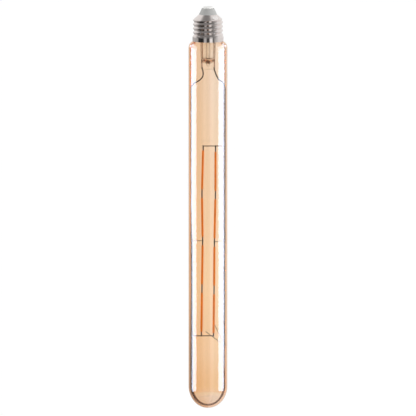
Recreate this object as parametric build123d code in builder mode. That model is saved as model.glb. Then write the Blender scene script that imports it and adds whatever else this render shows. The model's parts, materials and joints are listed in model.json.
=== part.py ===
from build123d import *
import math
import os

# An LED filament bulb: a long amber glass tube on an E27 screw cap, hanging cap up.
# Millimetres, +Z up. The origin is the middle of the centre contact's face, so every height is negative.
# Seen from the front (along +Y) the support wires run down the left and right sides of the glass.

# Glass tube
tube_radius = 17.0
glass_wall = 1.0
bulb_length = 355.0
dome_height = 19.0
dome_nose_radius = 15.6
neck_radius = 11.0
neck_top = -17.0
shoulder_top = -25.5
shoulder_bottom = -36.0

# E27 screw cap, rolled from sheet
sheet = 0.35
thread_pitch = 3.629
crest_radius = 13.2
root_radius = 12.1
first_groove = -11.7
thread_top = -8.2
thread_bottom = -25.6
thread_fade = 1.4
slices_per_turn = 12
hole_radius = 7.9
cone_top = -6.6
cone_run = 5.3
cone_drop = 4.7
rim_radius = 13.6
rim_step = -26.2
rim_bottom = -30.0

# Centre contact and insulator
contact_radius = 4.4
contact_height = 1.3
contact_edge = 0.5
pin_radius = 1.3
pin_bottom = -9.6
pin_bore_radius = 0.4
pin_bore_top = -2.5
insulator_top_radius = 5.4
collar_slope = 2.4
insulator_bottom = -8.9
collar_wall = 1.2
hub_radius = 2.4
insulator_roof = -4.6

# Cement ring between the neck and the rim
cement_top = -26.4
cement_bottom = -29.4

# Stem: flare tube, press and exhaust tube
flare_lip = -18.0
flare_bottom = -24.5
flare_wall = 0.9
flare_tube_radius = 7.0
press_top = -44.0
press_top_radius = 6.4
press_waist = -47.5
press_waist_thickness = 6.8
press_full = -50.0
press_bottom = -55.2
press_width = 12.4
press_thickness = 4.8
press_edge = 0.9
slot_width = 10.0
slot_thickness = 1.4
exhaust_radius = 2.0
exhaust_bore = 1.3
exhaust_bottom = -50.2
exhaust_top = -21.5
exhaust_tip = 1.0
blow_hole_radius = 1.1
blow_hole_height = -51.6

# Support wires: corners of each route in the middle plane, and the radius of each bend
support_radius = 0.55
right_route = [(5.1, -53.0), (5.1, -54.2), (7.4, -60.6), (9.4, -64.2), (12.6, -66.2)]
right_route += [(15.2, -71.2), (14.6, -300.3)]
right_bends = [4, 10, 5, 5, 6]
left_route = [(-4.8, -53.0), (-4.8, -54.8), (-4.1, -58.4), (-4.6, -62.0), (-8.0, -65.3), (-12.4, -67.3)]
left_route += [(-14.7, -71.5), (-14.7, -292.4)]
left_bends = [6, 8, 4, 6, 4, 6]

# Seal wires, outer leads and crossbars
seal_radius = 0.25
seal_top = -46.6
outer_lead_radius = 0.3
outer_lead_top = -15.2
bar_radius = 0.4
bar_overhang = 0.6
upper_bar = -122.8
lower_bar = -291.0

# Filament chains: the sideways place of each joint, from the upper bar to the lower one
left_joints = [-4.2, -5.3, -4.7, -5.3, -5.8]
right_joints = [6.6, 6.5, 5.6, 5.3, 4.8]
right_sag = 1.3
filament_length = 34.7
filament_width = 1.9
filament_thickness = 1.6
filament_taper = 0.4
tab_width = 1.1
tab_thickness = 0.2
tab_bite = 0.8
lap = 2.0

# Middle anchors and brace spring, thin wires wound round the support wires
thin_radius = 0.25
coil_slack = 0.03
anchor_turns = 3.5
anchor_pitch = 2.1
anchor_start = -90
anchor_overhang = 0.9
left_anchor_heights = (-206.8, -206.65)
right_anchor_heights = (-206.4, -207.8)
brace_turns = 2
brace_pitch = 1.1
brace_bottom = -300.1
brace_tip_gap = 0.15
upper_brace_tip = (6.3, -284.2)
lower_brace_tip = (-2.1, -289.7)

# Driver board and what stands on it, each placed by its middle
board_radius = 10.7
board_thickness = 1.0
wire_hole_radius = 0.45
body_bevel = 0.3
foot_reach = 0.6
foot_height = 0.3
rectifier_place = (7.5, -0.7)
rectifier_size = (3.8, 4.2, 1.6)
rectifier_feet = (2, 0.7)
chip_place = (0.2, -3.7)
chip_size = (4.8, 3.2, 1.5)
chip_feet = (4, 0.4)
leg_radius = 0.25
leg_reach = 1.0
leg_end = -17.8
capacitor_place = (-0.4, 5.2)
capacitor_radius = 3.1
capacitor_length = 11.0
capacitor_legs = [(1, -1.0), (1, 1.0)]
resistor_place = (-0.4, -7.4)
resistor_radius = 1.1
resistor_length = 6.0
resistor_legs = [(-1, 0.0), (1, 0.0)]
choke_place = (-6.6, -3.6)
choke_radius = 3.0
choke_height = 5.6
choke_flange = 0.9
choke_core_radius = 1.5
winding_radius = 2.6

# Wires from the board to the contact and to the shell
contact_wire_place = (4.7, -5.2)
contact_wire_bends = (-11.2, -12.7)
contact_wire_bend_radius = 1.2
shell_wire_angle = -55.0
shell_wire_radius = 8.6
shell_wire_bend_radius = 1.5
solder_length = 6.4
solder_width = 3.8
solder_height = 0.6
solder_edge = 0.45

# What follows from the dimensions above
glass_inside = tube_radius - glass_wall
neck_inside = neck_radius - glass_wall
rim_inside = rim_radius - sheet
cone_slope = math.hypot(cone_run, cone_drop)
coil_radius = support_radius + thin_radius + coil_slack
chain_y = -coil_radius - thin_radius - tab_thickness
bar_y = chain_y + tab_thickness / 2 + bar_radius
chain_count = len(left_joints) - 1
step = (upper_bar - lower_bar) / chain_count
board_top = neck_top + board_thickness

os.makedirs("parts", exist_ok=True)


def s_curve(upper, lower, skin):
    """Three points of two equal tangent arcs that start and end upright, moved inwards by skin."""
    run, drop = lower[0] - upper[0], upper[1] - lower[1]
    span = run**2 + drop**2
    normal = ((drop**2 - run**2) / span, 2 * run * drop / span)
    middle = ((upper[0] + lower[0]) / 2 - skin * normal[0], (upper[1] + lower[1]) / 2 - skin * normal[1])
    return (upper[0] - skin, upper[1]), middle, (lower[0] - skin, lower[1])


def draw_s_curve(points):
    """Draws the two arcs in the line that is being built."""
    first = TangentArc(points[0], points[1], tangent=(0, -1))
    TangentArc(points[1], points[2], tangent=first % 1)


def turned(*outline):
    """A solid turned about the bulb's axis from a closed outline of radius and height."""
    with BuildPart() as form:
        with BuildSketch(Plane.XZ):
            with BuildLine():
                Polyline(*outline, close=True)
            make_face()
        revolve(axis=Axis.Z)
    return form.part


def upright(radius, low, high, place=(0, 0)):
    """A round solid along Z between two heights."""
    with BuildPart(Plane.XY.offset(low)) as form:
        with Locations((place[0], place[1], 0)):
            Cylinder(radius, high - low, align=(Align.CENTER, Align.CENTER, Align.MIN))
    return form.part


def wire(points, bends, radius):
    """A round wire of straight runs joined by tangent arcs."""
    with BuildPart() as form:
        with BuildLine() as route:
            FilletPolyline(*points, radius=bends)
        with BuildSketch(Plane(route.line @ 0, z_dir=route.line % 0)):
            Circle(radius)
        sweep(path=route.line)
    return form.part


def rod(start, end, radius):
    """One straight round wire."""
    with BuildPart() as form:
        with BuildSketch(Plane(start, z_dir=Vector(*end) - Vector(*start))):
            Circle(radius)
        extrude(amount=(Vector(*end) - Vector(*start)).length)
    return form.part


def dome_arcs(skin):
    """Where the dome's flank arc starts, and where it passes into the nose arc."""
    top, lift = dome_height - bulb_length, dome_height - dome_nose_radius
    flank_radius = (tube_radius**2 + lift**2 - dome_nose_radius**2) / (2 * (tube_radius - dome_nose_radius))
    share = (flank_radius - skin) / (flank_radius - dome_nose_radius)
    nose = (tube_radius - flank_radius + share * (flank_radius - tube_radius), top - share * lift)
    return (tube_radius - skin, top), nose


def glass_form(skin):
    """The envelope as a filled solid, its surface moved inwards by skin."""
    neck = s_curve((neck_radius, shoulder_top), (tube_radius, shoulder_bottom), skin)
    side, nose = dome_arcs(skin)
    with BuildPart() as form:
        with BuildSketch(Plane.XZ):
            with BuildLine():
                Polyline((0, skin - bulb_length), (0, neck_top), (neck_radius - skin, neck_top), neck[0])
                draw_s_curve(neck)
                Line(neck[2], side)
                flank = TangentArc(side, nose, tangent=(0, -1))
                TangentArc(nose, (0, skin - bulb_length), tangent=flank % 1)
            make_face()
        revolve(axis=Axis.Z)
    return form.part


def flare_form(skin):
    """The flare and its tube down to the press as a filled solid, its surface moved inwards by skin."""
    curve = s_curve((neck_inside, flare_lip), (flare_tube_radius, flare_bottom), skin)
    with BuildPart() as form:
        with BuildSketch(Plane.XZ):
            with BuildLine():
                Polyline((0, press_top), (0, neck_top), (neck_inside - skin, neck_top), curve[0])
                draw_s_curve(curve)
                Polyline(curve[2], (press_top_radius - skin, press_top), (0, press_top))
            make_face()
        revolve(axis=Axis.Z)
    return form.part


def fade(distance):
    """Rises smoothly from 0 to 1 over the length in which the thread comes to its full depth."""
    share = min(1.0, max(0.0, distance / thread_fade))
    return share**2 * (3 - 2 * share)


def thread_form(skin):
    """The rolled thread as a filled solid: each level slice is a circle that leans away from the groove."""
    full_lean = (crest_radius - root_radius) / 2
    slices = round((thread_top - thread_bottom) / thread_pitch * slices_per_turn)
    with BuildPart() as form:
        for number in range(slices + 1):
            height = thread_top + (thread_bottom - thread_top) * number / slices
            lean = full_lean * fade(thread_top - height) * fade(height - thread_bottom)
            turn = math.pi + 2 * math.pi * (height - first_groove) / thread_pitch
            with BuildSketch(Plane.XY.offset(height)):
                with Locations((lean * math.cos(turn), lean * math.sin(turn))):
                    Circle(crest_radius - lean - skin)
        loft(ruled=True)
    return form.part


def cone_point(along, skin):
    """Radius and height of a point down the cap's cone from the edge of its hole, skin below the surface."""
    radius = hole_radius + (along * cone_run - skin * cone_drop) / cone_slope
    return radius, cone_top - (along * cone_drop + skin * cone_run) / cone_slope


def cap_form(skin):
    """The cap from its hole to its rim as a filled solid, its surface moved inwards by skin."""
    crest, rim = crest_radius - skin, rim_radius - skin
    mouth = cone_point(0, -skin)
    far = cone_point(cone_slope + sheet, skin)
    cone = [(0, mouth[1]), mouth, far, (far[0], thread_bottom), (0, thread_bottom)]
    if skin:
        cone.insert(2, cone_point(0, skin))
    with BuildPart() as form:
        add(thread_form(skin))
        add(turned((0, mouth[1]), (crest, mouth[1]), (crest, thread_top), (0, thread_top)))
        add(turned(*cone), mode=Mode.INTERSECT)
        add(turned((0, thread_bottom), (crest, thread_bottom), (rim, rim_step), (0, rim_step)))
        add(upright(rim, rim_bottom, rim_step))
    return form.part


# Glass envelope
with BuildPart() as glass_tube:
    add(glass_form(0))
    add(glass_form(glass_wall), mode=Mode.SUBTRACT)
glass_tube.part.label = "glass_tube"
export_step(glass_tube.part, "parts/glass_tube.step")

# Cap shell, with the hole in its cone for the shell wire
towards = (math.cos(math.radians(shell_wire_angle)), math.sin(math.radians(shell_wire_angle)))
spot = cone_point(cone_slope / 2, 0)
solder_plane = Plane(
    origin=(spot[0] * towards[0], spot[0] * towards[1], spot[1]),
    x_dir=(-towards[1], towards[0], 0),
    z_dir=(cone_drop * towards[0], cone_drop * towards[1], cone_run),
)
cap_outside = cap_form(0)
with BuildPart() as cap_shell:
    add(cap_outside)
    add(cap_form(sheet), mode=Mode.SUBTRACT)
    with BuildSketch(solder_plane):
        Circle(wire_hole_radius)
    extrude(amount=2 * sheet, both=True, mode=Mode.SUBTRACT)
cap_shell.part.label = "cap_shell"
export_step(cap_shell.part, "parts/cap_shell.step")

# Insulator: tapered top, collar under the cone, hub round the contact's pin
collar = cone_point(collar_slope, sheet)
insulator_outline = [
    (pin_radius, -contact_height),
    (insulator_top_radius, -contact_height),
    cone_point(0, 0),
    cone_point(0, sheet),
    collar,
    (collar[0], insulator_bottom),
    (collar[0] - collar_wall, insulator_bottom),
    (insulator_top_radius, insulator_roof),
    (hub_radius, insulator_roof),
    (hub_radius, insulator_bottom),
    (pin_radius, insulator_bottom),
]
with BuildPart() as cap_insulator:
    add(turned(*insulator_outline))
cap_insulator.part.label = "cap_insulator"
export_step(cap_insulator.part, "parts/cap_insulator.step")

# Centre contact: a disc with a hollow pin
with BuildPart() as centre_contact:
    add(upright(contact_radius, -contact_height, 0))
    fillet(centre_contact.edges().group_by(Axis.Z)[-1], radius=contact_edge)
    add(upright(pin_radius, pin_bottom, -contact_height))
    add(upright(pin_bore_radius, pin_bottom, pin_bore_top), mode=Mode.SUBTRACT)
centre_contact.part.label = "centre_contact"
export_step(centre_contact.part, "parts/centre_contact.step")

# Cement ring
with BuildPart() as cap_cement:
    add(upright(rim_inside, cement_bottom, cement_top))
    add(glass_form(0), mode=Mode.SUBTRACT)
cap_cement.part.label = "cap_cement"
export_step(cap_cement.part, "parts/cap_cement.step")

# Wires through the stem: outer lead, seal wire and support wire end to end on each side
stem_wires = []
support_wires = []
for side, route, bends in (("left", left_route, left_bends), ("right", right_route, right_bends)):
    lead_x, lead_bottom = route[0]
    with BuildPart() as outer_lead:
        add(upright(outer_lead_radius, seal_top, outer_lead_top, (lead_x, 0)))
    outer_lead.part.label = f"{side}_outer_lead"
    export_step(outer_lead.part, f"parts/{side}_outer_lead.step")
    with BuildPart() as seal_wire:
        add(upright(seal_radius, lead_bottom, seal_top, (lead_x, 0)))
    seal_wire.part.label = f"{side}_seal_wire"
    export_step(seal_wire.part, f"parts/{side}_seal_wire.step")
    with BuildPart() as support_wire:
        add(wire([(x, 0, z) for x, z in route], bends, support_radius))
    support_wire.part.label = f"{side}_support_wire"
    export_step(support_wire.part, f"parts/{side}_support_wire.step")
    stem_wires += [outer_lead.part, seal_wire.part, support_wire.part]
    support_wires.append(support_wire.part)

# Exhaust tube, closed at its tip
tip_turn, bore_turn = exhaust_top - exhaust_radius, exhaust_top - exhaust_tip - exhaust_bore
with BuildPart() as exhaust_tube:
    with BuildSketch(Plane.XZ):
        with BuildLine():
            Polyline(
                (exhaust_bore, bore_turn),
                (exhaust_bore, exhaust_bottom),
                (exhaust_radius, exhaust_bottom),
                (exhaust_radius, tip_turn),
            )
            TangentArc((exhaust_radius, tip_turn), (0, exhaust_top), tangent=(0, 1))
            Line((0, exhaust_top), (0, exhaust_top - exhaust_tip))
            TangentArc((exhaust_bore, bore_turn), (0, exhaust_top - exhaust_tip), tangent=(0, 1))
        make_face()
    revolve(axis=Axis.Z)
exhaust_tube.part.label = "exhaust_tube"
export_step(exhaust_tube.part, "parts/exhaust_tube.step")

# Stem: the flare tube is pinched flat round the wires and the exhaust tube
with BuildPart() as stem_flare:
    with BuildSketch(Plane.XY.offset(press_top)):
        Circle(press_top_radius)
    with BuildSketch(Plane.XY.offset(press_waist)):
        Ellipse(press_width / 2, press_waist_thickness / 2)
    with BuildSketch(Plane.XY.offset(press_full)):
        Ellipse(press_width / 2, press_thickness / 2)
    loft()
    with BuildSketch(Plane.XY.offset(press_full)):
        Ellipse(press_width / 2, press_thickness / 2)
    extrude(amount=press_bottom - press_full)
    fillet(stem_flare.edges().group_by(Axis.Z)[0], radius=press_edge)
    add(flare_form(0))
    add(flare_form(flare_wall), mode=Mode.SUBTRACT)
    with BuildSketch(Plane.XY.offset(press_top)):
        Circle(press_top_radius - flare_wall)
    with BuildSketch(Plane.XY.offset(press_waist)):
        Ellipse(slot_width / 2, slot_thickness / 2)
    loft(mode=Mode.SUBTRACT)
    add(upright(exhaust_radius, exhaust_bottom, press_top), mode=Mode.SUBTRACT)
    add(upright(exhaust_bore, blow_hole_height, exhaust_bottom), mode=Mode.SUBTRACT)
    with BuildSketch(Plane.XZ):
        with Locations((0, blow_hole_height)):
            Circle(blow_hole_radius)
    extrude(amount=-press_thickness, mode=Mode.SUBTRACT)
    for inner in stem_wires:
        add(inner, mode=Mode.SUBTRACT)
stem_flare.part.label = "stem_flare"
export_step(stem_flare.part, "parts/stem_flare.step")

# Crossbars, the upper one welded to the right support wire and the lower one to the left
upper_ends = (left_joints[0] - bar_overhang, right_route[-2][0] + bar_overhang)
with BuildPart() as upper_crossbar:
    add(rod((upper_ends[0], bar_y, upper_bar), (upper_ends[1], bar_y, upper_bar), bar_radius))
    add(support_wires[1], mode=Mode.SUBTRACT)
upper_crossbar.part.label = "upper_crossbar"
export_step(upper_crossbar.part, "parts/upper_crossbar.step")

lower_ends = (left_route[-1][0] - bar_overhang, right_joints[-1] + bar_overhang)
with BuildPart() as lower_crossbar:
    add(rod((lower_ends[0], bar_y, lower_bar), (lower_ends[1], bar_y, lower_bar), bar_radius))
    add(support_wires[0], mode=Mode.SUBTRACT)
lower_crossbar.part.label = "lower_crossbar"
export_step(lower_crossbar.part, "parts/lower_crossbar.step")


def hook(x, bar_height, filament_end):
    """A flat tab from a filament's end, folded over a crossbar."""
    away = math.copysign(1, bar_height - filament_end)
    outside = bar_radius + tab_thickness
    inner_end = filament_end - away * tab_bite
    with BuildPart() as form:
        with BuildSketch(Plane.YZ.offset(x)):
            with Locations((bar_y, bar_height)):
                Circle(outside)
                Circle(bar_radius, mode=Mode.SUBTRACT)
            with Locations((bar_y, bar_height - away * outside / 2)):
                Rectangle(2 * outside, outside, mode=Mode.SUBTRACT)
            with Locations((chain_y, (bar_height + inner_end) / 2)):
                Rectangle(tab_thickness, abs(bar_height - inner_end))
        extrude(amount=tab_width / 2, both=True)
    return form.part


def strip_tab(frame, low, high, layer):
    """A straight flat tab between two distances along the filament, in the front or the back layer."""
    with BuildPart() as form:
        with BuildSketch(frame.offset(low)):
            with Locations((0, layer * tab_thickness / 2)):
                Rectangle(tab_width, tab_thickness)
        extrude(amount=high - low)
    return form.part


def tapered_strip(frame):
    """The phosphor body of a filament, its two ends chamfered."""
    half = filament_length / 2
    with BuildPart() as form:
        with BuildSketch(frame.offset(-half)):
            SlotOverall(filament_width, filament_thickness)
        extrude(amount=filament_length)
        chamfer(form.faces().sort_by(Axis.Z)[0].edges(), length=filament_taper)
        chamfer(form.faces().sort_by(Axis.Z)[-1].edges(), length=filament_taper)
    return form.part


# Filaments, four in each chain: their tabs overlap between neighbours and fold over the bars at the ends
half, reach = filament_length / 2, (step + lap) / 2
for side, joints, sag in (("left", left_joints, 0), ("right", right_joints, right_sag)):
    for number in range(chain_count):
        upper_x, lower_x = joints[number], joints[number + 1]
        middle = upper_bar - (number + 0.5) * step - sag
        frame = Plane(
            origin=((upper_x + lower_x) / 2, chain_y, middle),
            x_dir=(step, 0, lower_x - upper_x),
            z_dir=(upper_x - lower_x, 0, step),
        )
        label = f"{side}_filament_{number + 1}"
        with BuildPart() as upper_tab:
            if number == 0:
                add(hook(upper_x, upper_bar, middle + half))
            else:
                add(strip_tab(frame, half - tab_bite, reach, -1))
        upper_tab.part.label = f"{label}_upper_tab"
        export_step(upper_tab.part, f"parts/{label}_upper_tab.step")
        with BuildPart() as lower_tab:
            if number == chain_count - 1:
                add(hook(lower_x, lower_bar, middle - half))
            else:
                add(strip_tab(frame, -reach, tab_bite - half, 1))
        lower_tab.part.label = f"{label}_lower_tab"
        export_step(lower_tab.part, f"parts/{label}_lower_tab.step")
        with BuildPart() as filament:
            add(tapered_strip(frame))
            add(upper_tab.part, mode=Mode.SUBTRACT)
            add(lower_tab.part, mode=Mode.SUBTRACT)
        filament.part.label = label
        export_step(filament.part, f"parts/{label}.step")


def support_x(route, height):
    """Where a support wire's long run stands at a height."""
    (top_x, top), (bottom_x, bottom) = route[-2], route[-1]
    return top_x + (bottom_x - top_x) * (top - height) / (top - bottom)


def coil(centre_x, bottom, start_angle, turns, pitch, left_handed):
    """A thin wire wound upwards round a support wire, with its first and last points."""
    with BuildPart() as form:
        with BuildLine() as route:
            Helix(pitch, turns * pitch, coil_radius, lefthand=left_handed)
        with BuildSketch(Plane(route.line @ 0, z_dir=route.line % 0)):
            Circle(thin_radius)
        sweep(path=route.line, is_frenet=True)
    place = Location((centre_x, 0, bottom), (0, 0, start_angle))
    first, last = [tuple((place * Location(route.line @ end)).position) for end in (0, 1)]
    return place * form.part, first, last


def leg(tip, foot):
    """A straight thin wire that ends in a ball where it meets the coil."""
    with BuildPart() as form:
        add(rod(tip, foot, thin_radius))
        with Locations(foot):
            Sphere(thin_radius)
    return form.part


# Middle anchors: a coil on the support wire and a leg that crosses behind the chain's middle joint
for side, route, joints, heights in (
    ("left", left_route, left_joints, left_anchor_heights),
    ("right", right_route, right_joints, right_anchor_heights),
):
    joint_x = joints[chain_count // 2]
    tip_x = joint_x - math.copysign(anchor_overhang, joint_x)
    wire_x, left_handed = support_x(route, heights[0]), side == "left"
    winding = coil(wire_x, heights[0], anchor_start, anchor_turns, anchor_pitch, left_handed)
    with BuildPart() as middle_anchor:
        add(winding[0])
        add(leg((tip_x, -coil_radius, heights[1]), winding[1]))
    middle_anchor.part.label = f"{side}_middle_anchor"
    export_step(middle_anchor.part, f"parts/{side}_middle_anchor.step")

# Brace spring: both legs leave the coil in line with its wire and run to the back of the glass
tip_radius = glass_inside - thin_radius - brace_tip_gap
tips = [(x, math.sqrt(tip_radius**2 - x**2), z) for x, z in (lower_brace_tip, upper_brace_tip)]
brace_x = support_x(right_route, brace_bottom)
aside = [math.asin(coil_radius / math.hypot(tip[0] - brace_x, tip[1])) for tip in tips]
arriving = math.atan2(-tips[0][1], brace_x - tips[0][0]) + aside[0]
leaving = math.atan2(tips[1][1], tips[1][0] - brace_x) - aside[1]
part_turn = math.degrees(arriving - leaving) % 360 / 360
winding = coil(brace_x, brace_bottom, math.degrees(arriving) + 90, brace_turns + part_turn, brace_pitch, True)
with BuildPart() as brace_spring:
    add(winding[0])
    add(leg(tips[0], winding[1]))
    add(leg(tips[1], winding[2]))
brace_spring.part.label = "brace_spring"
export_step(brace_spring.part, "parts/brace_spring.step")


def moulded_body(place, size, feet):
    """A component on the board: a block with a bevelled top and flat feet along its two sides."""
    count, foot_width = feet
    gap = size[0] / count
    on_board = (Align.CENTER, Align.CENTER, Align.MIN)
    with BuildPart(Plane.XY.offset(board_top)) as form:
        with Locations((place[0], place[1], 0)):
            Box(*size, align=on_board)
        chamfer(form.faces().sort_by(Axis.Z)[-1].edges(), length=body_bevel)
        for sign in (-1, 1):
            for number in range(count):
                x = place[0] + (number + 0.5) * gap - size[0] / 2
                with Locations((x, place[1] + sign * (size[1] + foot_reach) / 2, 0)):
                    Box(foot_width, foot_reach, foot_height, align=on_board)
    return form.part


def lying_body(place, radius, length, legs):
    """A round component lying along X on the board, with wire legs that turn down through it."""
    height = board_top + radius
    with BuildPart() as form:
        with BuildSketch(Plane.YZ.offset(place[0] - length / 2)):
            with Locations((place[1], height)):
                Circle(radius)
        extrude(amount=length)
        fillet(form.edges().filter_by(GeomType.CIRCLE), radius=radius / 6)
        for sign, shift in legs:
            y = place[1] + shift
            turn = place[0] + sign * (length / 2 + leg_reach)
            corners = [(place[0] + sign * length / 2, y, height), (turn, y, height), (turn, y, leg_end)]
            add(wire(corners, [leg_reach / 2], leg_radius))
    return form.part


# Bridge rectifier and driver chip
with BuildPart() as bridge_rectifier:
    add(moulded_body(rectifier_place, rectifier_size, rectifier_feet))
bridge_rectifier.part.label = "bridge_rectifier"
export_step(bridge_rectifier.part, "parts/bridge_rectifier.step")

with BuildPart() as driver_chip:
    add(moulded_body(chip_place, chip_size, chip_feet))
driver_chip.part.label = "driver_chip"
export_step(driver_chip.part, "parts/driver_chip.step")

# Electrolytic capacitor and fusible resistor
with BuildPart() as electrolytic_capacitor:
    add(lying_body(capacitor_place, capacitor_radius, capacitor_length, capacitor_legs))
electrolytic_capacitor.part.label = "electrolytic_capacitor"
export_step(electrolytic_capacitor.part, "parts/electrolytic_capacitor.step")

with BuildPart() as fusible_resistor:
    add(lying_body(resistor_place, resistor_radius, resistor_length, resistor_legs))
fusible_resistor.part.label = "fusible_resistor"
export_step(fusible_resistor.part, "parts/fusible_resistor.step")

# Choke: a ferrite drum and the winding between its flanges
choke_top = board_top + choke_height
choke_levels = (board_top, board_top + choke_flange, choke_top - choke_flange, choke_top)
with BuildPart() as choke_drum:
    add(upright(choke_radius, choke_levels[0], choke_levels[1], choke_place))
    add(upright(choke_core_radius, choke_levels[1], choke_levels[2], choke_place))
    add(upright(choke_radius, choke_levels[2], choke_levels[3], choke_place))
choke_drum.part.label = "choke_drum"
export_step(choke_drum.part, "parts/choke_drum.step")

with BuildPart() as choke_winding:
    add(upright(winding_radius, choke_levels[1], choke_levels[2], choke_place))
    add(upright(choke_core_radius, choke_levels[1], choke_levels[2], choke_place), mode=Mode.SUBTRACT)
choke_winding.part.label = "choke_winding"
export_step(choke_winding.part, "parts/choke_winding.step")

# Contact wire: from the pin's bore down to the board
contact_route = [
    (0, 0, pin_bore_top),
    (0, 0, contact_wire_bends[0]),
    (*contact_wire_place, contact_wire_bends[1]),
    (*contact_wire_place, leg_end),
]
with BuildPart() as contact_wire:
    add(wire(contact_route, [contact_wire_bend_radius, contact_wire_bend_radius], pin_bore_radius))
contact_wire.part.label = "contact_wire"
export_step(contact_wire.part, "parts/contact_wire.step")

# Shell wire: from the board up through the cone into the solder spot
wire_tip = cone_point(cone_slope / 2, -solder_height / 2)
wire_corner = (shell_wire_radius, wire_tip[1] - (wire_tip[0] - shell_wire_radius) * cone_run / cone_drop)
shell_corners = ((shell_wire_radius, leg_end), wire_corner, wire_tip)
shell_route = [(radius * towards[0], radius * towards[1], height) for radius, height in shell_corners]
with BuildPart() as shell_wire:
    add(wire(shell_route, [shell_wire_bend_radius], leg_radius))
shell_wire.part.label = "shell_wire"
export_step(shell_wire.part, "parts/shell_wire.step")

# Solder spot on the cone, over the end of the shell wire
with BuildPart() as solder_spot:
    with BuildSketch(solder_plane.offset(-solder_height)):
        Ellipse(solder_length / 2, solder_width / 2)
    extrude(amount=2 * solder_height)
    outwards = Axis(solder_plane.origin, solder_plane.z_dir)
    fillet(solder_spot.faces().sort_by(outwards)[-1].edges(), radius=solder_edge)
    add(cap_outside, mode=Mode.SUBTRACT)
    add(shell_wire.part, mode=Mode.SUBTRACT)
solder_spot.part.label = "solder_spot"
export_step(solder_spot.part, "parts/solder_spot.step")

# Driver board, resting on the end of the glass neck, drilled for every wire and leg
drilled = [(left_route[0][0], 0), (right_route[0][0], 0), contact_wire_place]
drilled.append((shell_wire_radius * towards[0], shell_wire_radius * towards[1]))
for place, length, legs in (
    (capacitor_place, capacitor_length, capacitor_legs),
    (resistor_place, resistor_length, resistor_legs),
):
    drilled += [(place[0] + sign * (length / 2 + leg_reach), place[1] + shift) for sign, shift in legs]
with BuildPart() as driver_board:
    add(upright(board_radius, neck_top, board_top))
    for place in drilled:
        add(upright(wire_hole_radius, neck_top, board_top, place), mode=Mode.SUBTRACT)
driver_board.part.label = "driver_board"
export_step(driver_board.part, "parts/driver_board.step")
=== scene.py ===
import json
import math
import bpy
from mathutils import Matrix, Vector


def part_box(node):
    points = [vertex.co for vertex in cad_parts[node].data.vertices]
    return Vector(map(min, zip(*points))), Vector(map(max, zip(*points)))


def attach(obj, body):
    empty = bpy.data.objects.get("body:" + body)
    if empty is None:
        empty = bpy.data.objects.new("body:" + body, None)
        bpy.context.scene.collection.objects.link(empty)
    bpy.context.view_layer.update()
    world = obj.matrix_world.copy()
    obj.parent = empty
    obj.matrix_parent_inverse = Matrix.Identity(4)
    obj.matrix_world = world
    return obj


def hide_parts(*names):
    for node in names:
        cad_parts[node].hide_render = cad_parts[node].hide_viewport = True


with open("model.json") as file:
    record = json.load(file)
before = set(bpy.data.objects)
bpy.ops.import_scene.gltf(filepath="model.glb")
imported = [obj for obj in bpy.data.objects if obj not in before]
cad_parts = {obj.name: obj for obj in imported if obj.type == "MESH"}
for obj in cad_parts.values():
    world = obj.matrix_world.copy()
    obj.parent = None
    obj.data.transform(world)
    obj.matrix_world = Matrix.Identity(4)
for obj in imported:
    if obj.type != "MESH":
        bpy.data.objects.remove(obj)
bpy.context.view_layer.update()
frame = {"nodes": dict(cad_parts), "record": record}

scene = bpy.context.scene
scene.view_settings.view_transform = "Standard"

# Camera: the photo looks along +Y and slightly down, from far away. Lengths are in metres
PHOTO = 416  # pixels on each side
PIXEL = 0.000877  # size of one pixel at the bulb
TOP_ROW = 7.2  # the photo's row in which the bulb's top lies
DISTANCE = 12.0
ELEVATION = math.radians(8)
SENSOR = 36  # millimetres
TARGET = Vector((0, 0, (TOP_ROW - PHOTO / 2) * PIXEL / math.cos(ELEVATION)))

camera_data = bpy.data.cameras.new("camera")
camera = bpy.data.objects.new("camera", camera_data)
scene.collection.objects.link(camera)
camera.location = TARGET + DISTANCE * Vector((0, -math.cos(ELEVATION), math.sin(ELEVATION)))
camera.rotation_euler = (math.pi / 2 - ELEVATION, 0, 0)
camera_data.sensor_width = SENSOR
camera_data.lens = SENSOR * DISTANCE / (PHOTO * PIXEL)
camera_data.clip_start = 0.1
camera_data.clip_end = 40
scene.camera = camera

# The glass tube's form, the same as the solid's that it stands for
low_corner, high_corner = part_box("glass_tube")
TUBE_RADIUS = (high_corner.x - low_corner.x) / 2
BULB_LENGTH = -low_corner.z
NECK_TOP = high_corner.z
GLASS_WALL = 0.001
NECK_RADIUS = 0.011
SHOULDER = (-0.0255, -0.036)  # its upper and its lower end
DOME_HEIGHT = 0.019
NOSE_RADIUS = 0.0156


# Node helpers. A Mix node has sockets for every kind of data, and these are its colour ones
MIX_INPUTS = (0, 6, 7)
MIX_OUTPUT = 2
NOISE_LOW, NOISE_HIGH = 0.3, 0.7  # most of a noise's values lie between these


def add(tree, kind, **values):
    """Adds a node; values with an underscore first are its own settings, the others its inputs."""
    node = tree.nodes.new(kind)
    for key, value in values.items():
        if key.startswith("_"):
            setattr(node, key[1:], value)
        else:
            node.inputs[key.replace("__", " ")].default_value = value
    return node


def new_tree(name):
    """A material with an empty tree and its output."""
    material = bpy.data.materials.new(name)
    material.use_nodes = True
    tree = material.node_tree
    tree.nodes.clear()
    return material, tree, add(tree, "ShaderNodeOutputMaterial")


def ramp(tree, source, stops):
    """A colour ramp with a list of places and greys or colours."""
    node = tree.nodes.new("ShaderNodeValToRGB")
    elements = node.color_ramp.elements
    while len(elements) < len(stops):
        elements.new(1.0)
    for element, (place, color) in zip(elements, stops):
        element.position = place
        element.color = (*color, 1) if isinstance(color, tuple) else (color, color, color, 1)
    tree.links.new(source, node.inputs["Fac"])
    return node.outputs["Color"]


def share(tree, source, low, high):
    """Where a value lies between two others, from 0 to 1."""
    node = add(tree, "ShaderNodeMapRange", From__Min=low, From__Max=high)
    tree.links.new(source, node.inputs["Value"])
    return node.outputs["Result"]


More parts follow.
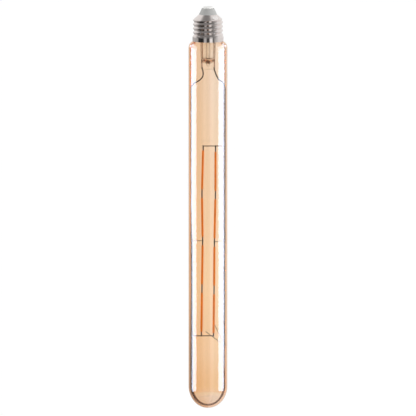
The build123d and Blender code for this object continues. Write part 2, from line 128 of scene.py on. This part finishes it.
def math_node(tree, operation, first, second):
    """Works on two values, each a socket or a number."""
    node = add(tree, "ShaderNodeMath", _operation=operation)
    for socket, value in zip(node.inputs, (first, second)):
        if isinstance(value, (int, float)):
            socket.default_value = value
        else:
            tree.links.new(value, socket)
    return node.outputs["Value"]


def square(tree, value):
    """A value times itself."""
    return math_node(tree, "MULTIPLY", value, value)


def mix_color(tree, blend, factor, first, second):
    """Blends two colours, each a socket or a plain colour; the factor is a socket or a float."""
    node = add(tree, "ShaderNodeMix", _data_type="RGBA", _blend_type=blend)
    for number, value in zip(MIX_INPUTS, (factor, first, second)):
        socket = node.inputs[number]
        if isinstance(value, float):
            socket.default_value = value
        elif isinstance(value, tuple):
            socket.default_value = (*value, 1)
        else:
            tree.links.new(value, socket)
    return node.outputs[MIX_OUTPUT]


def mix_shader(tree, factor, first, second):
    """Mixes two shaders; at factor 1 it is the second."""
    node = add(tree, "ShaderNodeMixShader")
    tree.links.new(factor, node.inputs["Fac"])
    tree.links.new(first.outputs[0], node.inputs[1])
    tree.links.new(second.outputs[0], node.inputs[2])
    return node


def axes(tree, output):
    """The three parts of a texture coordinate."""
    node = add(tree, "ShaderNodeSeparateXYZ")
    tree.links.new(add(tree, "ShaderNodeTexCoord").outputs[output], node.inputs["Vector"])
    return node.outputs


def turned_away(tree):
    """0 where the surface faces the eye and 1 where it is seen edge-on."""
    return add(tree, "ShaderNodeLayerWeight", Blend=0.5).outputs["Facing"]


def noise(tree, scale, detail=3.0, stretch=(1, 1, 1)):
    """Noise in the object's own metres, so that its grain has a real size."""
    mapping = add(tree, "ShaderNodeMapping")
    mapping.inputs["Scale"].default_value = stretch
    tree.links.new(add(tree, "ShaderNodeTexCoord").outputs["Object"], mapping.inputs["Vector"])
    texture = add(tree, "ShaderNodeTexNoise", Scale=scale, Detail=detail)
    tree.links.new(mapping.outputs["Vector"], texture.inputs["Vector"])
    return texture.outputs["Fac"]


def relief(tree, body, height, strength, distance):
    """Puts a bump on a shader."""
    bump = add(tree, "ShaderNodeBump", Strength=strength, Distance=distance)
    tree.links.new(height, bump.inputs["Height"])
    tree.links.new(bump.outputs["Normal"], body.inputs["Normal"])


def scaled(color, factor):
    """A colour made darker or paler."""
    return tuple(min(1.0, channel * factor) for channel in color)


# Opaque materials
BROAD_GRAIN = 8  # how much coarser the colour's grain is than the relief's
ROUGH_RANGE = (0.85, 1.2)
SOLID_RELIEF = 0.5


def solid(
    name, color, roughness, metallic=0.0, grain=900.0, depth=0.00001, spread=0.08, stretch=(1, 1, 1), **extra
):
    """An opaque surface whose colour, roughness and relief vary with a fine grain.

    The grain is in waves a metre, depth is the relief's height, and spread is the share by which the colour
    varies.
    """
    material, tree, output = new_tree(name)
    body = add(tree, "ShaderNodeBsdfPrincipled", Metallic=metallic, **extra)
    fine = noise(tree, grain, stretch=stretch)
    broad = noise(tree, grain / BROAD_GRAIN, stretch=stretch)
    smoothest, roughest = (min(1.0, roughness * factor) for factor in ROUGH_RANGE)
    darkest, palest = scaled(color, 1 - spread), scaled(color, 1 + spread)
    tint = ramp(tree, broad, [(NOISE_LOW, darkest), (NOISE_HIGH, palest)])
    rough = ramp(tree, fine, [(NOISE_LOW, smoothest), (NOISE_HIGH, roughest)])
    tree.links.new(tint, body.inputs["Base Color"])
    tree.links.new(rough, body.inputs["Roughness"])
    relief(tree, body, fine, SOLID_RELIEF, depth)
    tree.links.new(body.outputs["BSDF"], output.inputs["Surface"])
    return material


SOLID_LOOKS = {
    "cap_metal": dict(color=(0.90, 0.825, 0.795), roughness=0.12, metallic=1.0, grain=500, spread=0.03),
    "contact_metal": dict(color=(0.98, 0.97, 0.95), roughness=0.6, metallic=0.15, grain=1500, spread=0.03),
    "insulator": dict(color=(0.43, 0.43, 0.42), roughness=0.5, grain=1200, depth=0.00003, spread=0.05),
    "solder": dict(
        color=(0.95, 0.91, 0.89), roughness=0.5, metallic=0.4, grain=700, depth=0.00004, spread=0.05
    ),
    "cement": dict(color=(0.42, 0.36, 0.28), roughness=0.9, grain=2500, depth=0.0001, spread=0.15),
    "phosphor": dict(
        color=(0.67, 0.20, 0.0),
        roughness=0.6,
        grain=2600,
        depth=0.00003,
        spread=0.1,
        Specular__IOR__Level=0.15,
    ),
    "support_metal": dict(color=(0.012, 0.009, 0.007), roughness=0.5, metallic=0.3, grain=2200, spread=0.2),
    "tab_metal": dict(color=(0.03, 0.022, 0.018), roughness=0.5, metallic=0.3, grain=2600, spread=0.2),
    "seal_metal": dict(color=(0.36, 0.06, 0.03), roughness=0.4, metallic=0.4, grain=2600, spread=0.12),
    "copper_wire": dict(color=(0.45, 0.25, 0.14), roughness=0.35, metallic=0.9, grain=2600, spread=0.1),
    "board": dict(color=(0.62, 0.60, 0.46), roughness=0.6, grain=1800, depth=0.00002, spread=0.06),
    "chip_black": dict(color=(0.03, 0.03, 0.032), roughness=0.55, grain=3000, spread=0.2),
    "capacitor_sleeve": dict(color=(0.035, 0.04, 0.05), roughness=0.25, grain=600, spread=0.15),
    "ferrite": dict(color=(0.05, 0.045, 0.045), roughness=0.7, grain=3000, depth=0.00003, spread=0.2),
    "winding": dict(
        color=(0.48, 0.17, 0.06), roughness=0.3, metallic=0.7, grain=1500, stretch=(0.1, 0.1, 3), spread=0.2
    ),
    "resistor_coat": dict(color=(0.14, 0.28, 0.24), roughness=0.45, grain=1800, spread=0.1),
}

# Glass. A tint with a pair of heights starts at the first and is full at the second
GLASS_INDEX = 1.5
GLASS_WAVES = 60  # in a metre
GLASS_WAVE_STRETCH = (1, 1, 0.25)
GLASS_RELIEF = 0.3
PAINTED_EDGE_LINE = (0.16, 0.11, 0.09)  # painted shade: a dark line along the rims in place of the outline that refraction gives the glass's inner side
LEFT_EDGE_HEIGHTS = (-0.185, -0.215)
RIGHT_EDGE_HEIGHTS = (-0.066, -0.072)
LEFT_SHADE_HEIGHTS = (-0.25, -0.31)
DOME_BACK = (0.92, 0.97, 1.0)
DOME_BACK_HEIGHTS = (-0.343, -0.344)
CREASE_SHADE = (0.5, 0.36, 0.27)  # painted shade where the stem is pressed flat, between two heights
CREASE_HEIGHTS = (-0.050, -0.040)
CREASE_WAVE = 0.006
CREASE_GRAIN = 260
CLOUD_GRAIN = 150
# painted shade for the clear stem's edge-on outline
STEM_OUTLINE = (0.12, 0.06, 0.03)


def glass(name, tint, density, color_of, ripple, calm_of=None):
    """Glass tinted in its depth and on its surface; where it is calm it reflects nothing.

    Lamps shine through it, and ripple is the height of its waves.
    """
    material, tree, output = new_tree(name)
    body = add(tree, "ShaderNodeBsdfPrincipled", Roughness=0.0, IOR=GLASS_INDEX, Transmission__Weight=1.0)
    color = color_of(tree)
    tree.links.new(color, body.inputs["Base Color"])
    waves = noise(tree, GLASS_WAVES, detail=1.0, stretch=GLASS_WAVE_STRETCH)
    relief(tree, body, waves, GLASS_RELIEF, ripple)
    if calm_of:
        plain = add(tree, "ShaderNodeBsdfTransparent")
        tree.links.new(color, plain.inputs["Color"])
        body = mix_shader(tree, calm_of(tree), body, plain)
    path = add(tree, "ShaderNodeLightPath")
    clear = add(tree, "ShaderNodeBsdfTransparent")
    surface = mix_shader(tree, path.outputs["Is Shadow Ray"], body, clear)
    tree.links.new(surface.outputs["Shader"], output.inputs["Surface"])
    absorb = add(tree, "ShaderNodeVolumeAbsorption", Color=(*tint, 1), Density=density)
    tree.links.new(absorb.outputs["Volume"], output.inputs["Volume"])
    return material


def wall_tint(tree, place):
    """The amber is deeper towards the rounded end and paler by the cap, and painted shade makes it deeper on
    the left than on the right.
    """
    painted_side_shade = ramp(tree, share(tree, place["X"], -TUBE_RADIUS, TUBE_RADIUS), [
        (0.0, (0.98, 0.905, 0.83)),
        (0.28, (0.98, 0.918, 0.851)),
        (0.45, (0.99, 0.952, 0.908)),
        (0.55, (0.994, 0.969, 0.953)),
        (0.65, (1.0, 1.0, 1.0)),
    ])
    along = ramp(tree, share(tree, place["Z"], -BULB_LENGTH, 0), [
        (0.0, (0.94, 0.865, 0.81)),
        (0.035, (0.94, 0.865, 0.81)),
        (0.045, (0.94, 0.858, 0.72)),
        (0.07, (0.945, 0.858, 0.726)),
        (0.13, (0.965, 0.91, 0.82)),
        (0.3, (1.0, 0.963, 0.872)),
        (0.55, (0.974, 0.942, 0.872)),
        (0.8, (0.949, 0.947, 0.927)),
    ])
    behind = share(tree, place["Y"], -0.001, 0.001)
    dome_back = math_node(tree, "MULTIPLY", behind, share(tree, place["Z"], *DOME_BACK_HEIGHTS))
    along = mix_color(tree, "MIX", dome_back, along, DOME_BACK)
    return mix_color(tree, "MULTIPLY", 1.0, painted_side_shade, along)


def rim_tint(tree, place):
    """The rims are deeper amber, with painted shade that makes them deeper on the left than on the right and
    darker low on the left, and a painted dark line in place of the outline that refraction gives the inner
    side.
    """
    away = turned_away(tree)
    # Painted shade: the left rim is deeper amber than the right
    left = ramp(tree, away, [(0.5, 1.0), (0.6, (0.93, 0.78, 0.60)), (1.0, (0.88, 0.68, 0.46))])
    right = ramp(tree, away, [(0.5, 1.0), (0.6, (0.99, 0.965, 0.93)), (1.0, (0.94, 0.89, 0.84))])
    side = share(tree, place["X"], -0.002, 0.002)
    rim = mix_color(tree, "MIX", side, left, right)
    # Painted shade: a dark line along the rims, reaching higher on the right than on the left. From in
    # front, 0.42 to 0.51 is 13.8 to 14.8 mm from the axis
    edge = ramp(tree, away, [(0.405, 1.0), (0.42, PAINTED_EDGE_LINE), (0.51, PAINTED_EDGE_LINE), (0.53, 1.0)])
    left_reach = share(tree, place["Z"], *LEFT_EDGE_HEIGHTS)
    right_reach = share(tree, place["Z"], *RIGHT_EDGE_HEIGHTS)
    reach = mix_color(tree, "MIX", side, left_reach, right_reach)
    rim = mix_color(tree, "MULTIPLY", reach, rim, edge)
    # Painted shade on the lower left of the rims
    shade = ramp(tree, away, [(0.43, 1.0), (0.5, 0.3), (0.65, 0.3), (0.85, 1.0)])
    leftward = share(tree, place["X"], 0.0, -0.012)
    low_left = math_node(tree, "MULTIPLY", share(tree, place["Z"], *LEFT_SHADE_HEIGHTS), leftward)
    return mix_color(tree, "MULTIPLY", low_left, rim, shade)


def amber_tint(tree):
    """The surface colour of the glass tube."""
    place = axes(tree, "Object")
    return mix_color(tree, "MULTIPLY", 1.0, wall_tint(tree, place), rim_tint(tree, place))


def calm_rim(tree):
    """1 where the back of the tube turns away from the eye, where a softbox would wipe out its outline."""
    back = share(tree, axes(tree, "Object")["Y"], 0.002, 0.004)
    return math_node(tree, "MULTIPLY", ramp(tree, turned_away(tree), [(0.5, 0.0), (0.6, 1.0)]), back)


def clear_tint(tree):
    """Clear glass with painted shade in the crease at the press and a painted dark outline in place of the
    one that thin tube shows against white.
    """
    clouds = [(NOISE_LOW, (0.97, 0.96, 0.94)), (NOISE_HIGH, (1.0, 1.0, 0.99))]
    cloud = ramp(tree, noise(tree, CLOUD_GRAIN), clouds)
    wave = math_node(tree, "MULTIPLY", noise(tree, CREASE_GRAIN, detail=1.0), CREASE_WAVE)
    height = math_node(tree, "ADD", axes(tree, "Object")["Z"], wave)
    folds = [(0.35, 1.0), (0.45, CREASE_SHADE), (0.58, CREASE_SHADE), (0.66, 1.0)]
    crease = ramp(tree, share(tree, height, *CREASE_HEIGHTS), folds)
    creased = mix_color(tree, "MULTIPLY", 1.0, cloud, crease)
    # Painted shade: a dark outline where the stem is seen edge-on
    outline = ramp(tree, turned_away(tree), [(0.3, 1.0), (0.7, STEM_OUTLINE)])
    return mix_color(tree, "MULTIPLY", 1.0, creased, outline)


materials = {name: solid(name, **look) for name, look in SOLID_LOOKS.items()}
materials["amber_glass"] = glass(
    "amber_glass", (0.97, 0.5, 0.038), density=260.0, color_of=amber_tint, ripple=0.0000004, calm_of=calm_rim
)
materials["clear_glass"] = glass(
    "clear_glass", (0.92, 0.93, 0.91), density=40.0, color_of=clear_tint, ripple=0.000004
)


def paint(thing, slot):
    """Gives a piece the material of one of the record's slots."""
    thing.data.materials.clear()
    thing.data.materials.append(materials[slot])
    for polygon in thing.data.polygons:
        polygon.material_index = 0


slots = {entry["node"]: entry["material_slot"] for entry in frame["record"]["subparts"]}
for name, node in frame["nodes"].items():
    paint(node, slots[name])


# The blown tube again, with enough facets for even reflections
SIDES = 192
CURVE_STEPS = 14
RING_GAP = 0.0005  # a further ring this far from each curve keeps the long wall's shading straight
SHARP = math.radians(40)


def arc(centre, radius, first, last):
    """Points of an arc of radius and height between two angles in radians."""
    turns = [first + (last - first) * number / CURVE_STEPS for number in range(CURVE_STEPS + 1)]
    return [(centre[0] + radius * math.cos(turn), centre[1] + radius * math.sin(turn)) for turn in turns]


def tube_outline(skin):
    """The tube's section from the middle of its rounded end up to its neck, moved inwards by skin."""
    top = DOME_HEIGHT - BULB_LENGTH
    lift = DOME_HEIGHT - NOSE_RADIUS
    flank_radius = (TUBE_RADIUS**2 + lift**2 - NOSE_RADIUS**2) / (2 * (TUBE_RADIUS - NOSE_RADIUS))
    lean = -math.atan2(lift, flank_radius - TUBE_RADIUS)
    nose = arc((0, NOSE_RADIUS - BULB_LENGTH), NOSE_RADIUS - skin, -math.pi / 2, lean)
    flank = arc((TUBE_RADIUS - flank_radius, top), flank_radius - skin, lean, 0)
    run, drop = TUBE_RADIUS - NECK_RADIUS, SHOULDER[0] - SHOULDER[1]
    bend = (run**2 + drop**2) / (4 * run)
    sweep = 2 * math.atan(run / drop)
    lower = arc((TUBE_RADIUS - bend, SHOULDER[1]), bend - skin, 0, sweep)
    upper = arc((NECK_RADIUS + bend, SHOULDER[0]), bend + skin, math.pi + sweep, math.pi)
    wall = [(TUBE_RADIUS - skin, top + RING_GAP), (TUBE_RADIUS - skin, SHOULDER[1] - RING_GAP)]
    return nose + flank[1:] + wall + lower + upper[1:] + [(NECK_RADIUS - skin, NECK_TOP)]


def lathe(name, outline):
    """A smooth closed solid turned about the bulb's axis; the outline's two ends are on the axis."""
    points, rings = [], []
    for number, (radius, height) in enumerate(outline):
        count = 1 if number in (0, len(outline) - 1) else SIDES
        rings.append([len(points) + side for side in range(count)])
        for side in range(count):
            turn = 2 * math.pi * side / SIDES
            points.append((radius * math.cos(turn), radius * math.sin(turn), height))
    faces = []
    for below, above in zip(rings, rings[1:]):
        for side in range(SIDES):
            corners = [below[side % len(below)], below[(side + 1) % len(below)]]
            corners += [above[(side + 1) % len(above)], above[side % len(above)]]
            faces.append(list(dict.fromkeys(corners)))
    mesh = bpy.data.meshes.new(name)
    mesh.from_pydata(points, [], faces)
    mesh.shade_smooth()
    mesh.set_sharp_from_angle(angle=SHARP)
    thing = bpy.data.objects.new(name, mesh)
    scene.collection.objects.link(thing)
    return thing


tube = lathe("blown_tube", tube_outline(0) + tube_outline(GLASS_WALL)[::-1])
paint(tube, "amber_glass")
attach(tube, "root")
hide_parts("glass_tube")


# Studio: pale floor, white backdrop, lamps for matt surfaces and a light tent that only the glass reflects.
# Azimuths are in degrees round the bulb: 0 is towards the camera and 90 is to its right
FLOOR = -0.65
FLOOR_HALF = 6.0
FLOOR_GREY = 0.82
FLOOR_SHOWN = 1.04  # a little over white, because a share of the eye's rays sees the shadow instead
FLOOR_SHARE = 0.92
NEAR_FLOOR = 1.5
FAR_FLOOR = 2.0
TENT_RADIUS = 0.5
TENT_TOP = 0.3
TENT_BOTTOM = -0.50
TENT_STEP = 3
SOFTBOX = 12.0
SOFTBOX_COLOR = (0.60, 0.77, 1.0)  # bluish, to make up for the amber that shows through its reflections
SHOULDER_LIGHT = scaled(SOFTBOX_COLOR, 0.5)
ROOM_GREY = (0.75, 0.75, 0.75)
CEILING_LEAN = 0.26  # how far the ceiling's pale part turns to the right
WHITE = (1.0, 1.0, 1.0)

# What the cap reflects from the floor, as azimuths and brightness: dark flags with gaps of light
FRONT_FLAGS = [(-33, 0.01), (-28, 0.5), (-12, 0.5), (-9, 0.01), (11, 0.01), (14, 1.0), (32, 1.0), (36, 0.12)]
FRONT_FLAGS += [(43, 0.12), (50, 0.34), (66, 0.55), (85, 0.75), (180, 0.75)]
FAR_FLAGS = [(-180, 0.45), (-140, 0.45), (-104, 0.42), (-80, 0.36), (-75, 0.01)] + FRONT_FLAGS
NEAR_FLAGS = [(-180, 0.45), (-125, 0.42), (-112, 0.3), (-104, 0.01)] + FRONT_FLAGS


def at(azimuth, radius, height):
    """A point round the bulb."""
    turn = math.radians(azimuth)
    return Vector((radius * math.sin(turn), -radius * math.cos(turn), height))


def round_the_bulb(tree, place, stops):
    """Greys or colours by azimuth for a texture coordinate's parts."""
    turn = math_node(tree, "ARCTAN2", place["X"], math_node(tree, "MULTIPLY", place["Y"], -1))
    places = [((azimuth + 180) / 360, look) for azimuth, look in stops]
    return ramp(tree, share(tree, turn, -math.pi, math.pi), places)


def eye_rays(tree):
    """1 for rays that come straight from the camera or through glass."""
    path = add(tree, "ShaderNodeLightPath")
    return math_node(tree, "MAXIMUM", path.outputs["Is Camera Ray"], path.outputs["Is Transmission Ray"])


def emission(tree, color, strength=1.0):
    """A glow of a plain colour or of a socket's."""
    node = add(tree, "ShaderNodeEmission", Strength=strength)
    if isinstance(color, tuple):
        node.inputs["Color"].default_value = (*color, 1)
    else:
        tree.links.new(color, node.inputs["Color"])
    return node


def stage_mesh(name, points, faces, material):
    """A mesh of the studio, which is no piece of the bulb."""
    mesh = bpy.data.meshes.new(name)
    mesh.from_pydata(points, [], faces)
    mesh.materials.append(material)
    thing = bpy.data.objects.new(name, mesh)
    scene.collection.objects.link(thing)
    return thing


def lamp(name, azimuth, radius, height, width, tall, power):
    """An area lamp that lights matt surfaces and doesn't show in reflections."""
    data = bpy.data.lights.new(name, "AREA")
    data.shape = "RECTANGLE"
    data.size = width
    data.size_y = tall
    data.energy = power
    light = bpy.data.objects.new(name, data)
    scene.collection.objects.link(light)
    light.location = at(azimuth, radius, height)
    light.rotation_euler = (math.pi / 2, 0, math.radians(azimuth))
    light.visible_glossy = False
    light.visible_camera = False
    light.visible_transmission = False


def softboxes(tree, place, left, right, color=SOFTBOX_COLOR, fade=1):
    """Two softboxes, each between two azimuths; fade is the width of the edges that are further back."""
    stops = [(left[0] - fade, 0.0), (left[0], color), (left[1], color), (left[1] + 1, 0.0)]
    stops += [(right[0] - 1, 0.0), (right[0], color), (right[1], color), (right[1] + fade, 0.0)]
    return round_the_bulb(tree, place, stops)


def light_tent(receiver):
    """A tent with two tall softboxes that only one piece reflects and that everything else sees through."""
    material, tree, output = new_tree("light_tent")
    place = axes(tree, "Object")
    # From the lower end up; at each pair of heights the pattern below goes over into the next
    shape = softboxes(tree, place, (-112, -73), (64, 107))
    for heights, upper in (
        ((-0.393, -0.389), softboxes(tree, place, (-112, -73), (64, 112))),
        ((-0.28, -0.24), softboxes(tree, place, (-118, -73), (64, 112))),
        ((-0.02, 0.0), softboxes(tree, place, (-138, -73), (58, 138), SHOULDER_LIGHT, fade=3)),
    ):
        shape = mix_color(tree, "MIX", share(tree, place["Z"], *heights), shape, upper)
    through = add(tree, "ShaderNodeAddShader")
    tree.links.new(emission(tree, shape, SOFTBOX).outputs["Emission"], through.inputs[0])
    tree.links.new(add(tree, "ShaderNodeBsdfTransparent").outputs["BSDF"], through.inputs[1])
    tree.links.new(through.outputs["Shader"], output.inputs["Surface"])
    azimuths = range(0, 360, TENT_STEP)
    count = len(azimuths)
    points = []
    for height in (TENT_BOTTOM, TENT_TOP):
        points += [tuple(at(azimuth, TENT_RADIUS, height)) for azimuth in azimuths]
    walls = [(side, (side + 1) % count, count + (side + 1) % count, count + side) for side in range(count)]
    tent = stage_mesh("light_tent", points, walls, material)
    tent.visible_camera = False
    tent.visible_diffuse = False
    tent.visible_transmission = False
    tent.visible_volume_scatter = False
    tent.visible_shadow = False
    receivers = bpy.data.collections.new("tent_receivers")
    receivers.objects.link(receiver)
    tent.light_linking.receiver_collection = receivers


def floor():
    """A floor that is white to the eye with a faint shadow, and dark and light by turns to reflections."""
    material, tree, output = new_tree("floor")
    matt = add(tree, "ShaderNodeBsdfDiffuse", Color=(FLOOR_GREY, FLOOR_GREY, FLOOR_GREY, 1))
    place = axes(tree, "Object")
    away = math_node(tree, "ADD", square(tree, place["X"]), square(tree, place["Y"]))
    far = share(tree, math_node(tree, "POWER", away, 0.5), NEAR_FLOOR, FAR_FLOOR)
    near_flags = round_the_bulb(tree, place, NEAR_FLAGS)
    shown = emission(tree, mix_color(tree, "MIX", far, near_flags, round_the_bulb(tree, place, FAR_FLAGS)))
    lower = mix_shader(tree, add(tree, "ShaderNodeLightPath").outputs["Is Glossy Ray"], matt, shown)
    seen = math_node(tree, "MULTIPLY", eye_rays(tree), FLOOR_SHARE)
    upper = mix_shader(tree, seen, lower, emission(tree, WHITE, FLOOR_SHOWN))
    tree.links.new(upper.outputs["Shader"], output.inputs["Surface"])
    signs = ((-1, -1), (1, -1), (1, 1), (-1, 1))
    corners = [(x * FLOOR_HALF, y * FLOOR_HALF, FLOOR) for x, y in signs]
    stage_mesh("floor", corners, [(0, 1, 2, 3)], material)


def room():
    """A world that is white to the eye and soft grey to matt surfaces, with a pale back for reflections."""
    world = bpy.data.worlds.new("studio")
    scene.world = world
    world.use_nodes = True
    tree = world.node_tree
    tree.nodes.clear()
    output = add(tree, "ShaderNodeOutputWorld")
    background = add(tree, "ShaderNodeBackground", Strength=1.0)
    toward = axes(tree, "Generated")
    behind = math_node(tree, "ADD", toward["Y"], math_node(tree, "MULTIPLY", toward["X"], CEILING_LEAN))
    ceiling = [(0.0, 0.2), (0.5, 0.2), (0.53, 0.3), (0.58, 0.74), (1.0, 0.85)]
    reflected = ramp(tree, share(tree, behind, -1, 1), ceiling)
    glossy = add(tree, "ShaderNodeLightPath").outputs["Is Glossy Ray"]
    lit = mix_color(tree, "MIX", glossy, ROOM_GREY, reflected)
    tree.links.new(mix_color(tree, "MIX", eye_rays(tree), lit, WHITE), background.inputs["Color"])
    tree.links.new(background.outputs["Background"], output.inputs["Surface"])


lamp("lamp_left", azimuth=-80, radius=0.6, height=-0.15, width=0.3, tall=0.6, power=1.6)
lamp("lamp_right", azimuth=70, radius=0.6, height=-0.1, width=0.35, tall=0.6, power=3.0)
light_tent(tube)
floor()
room()
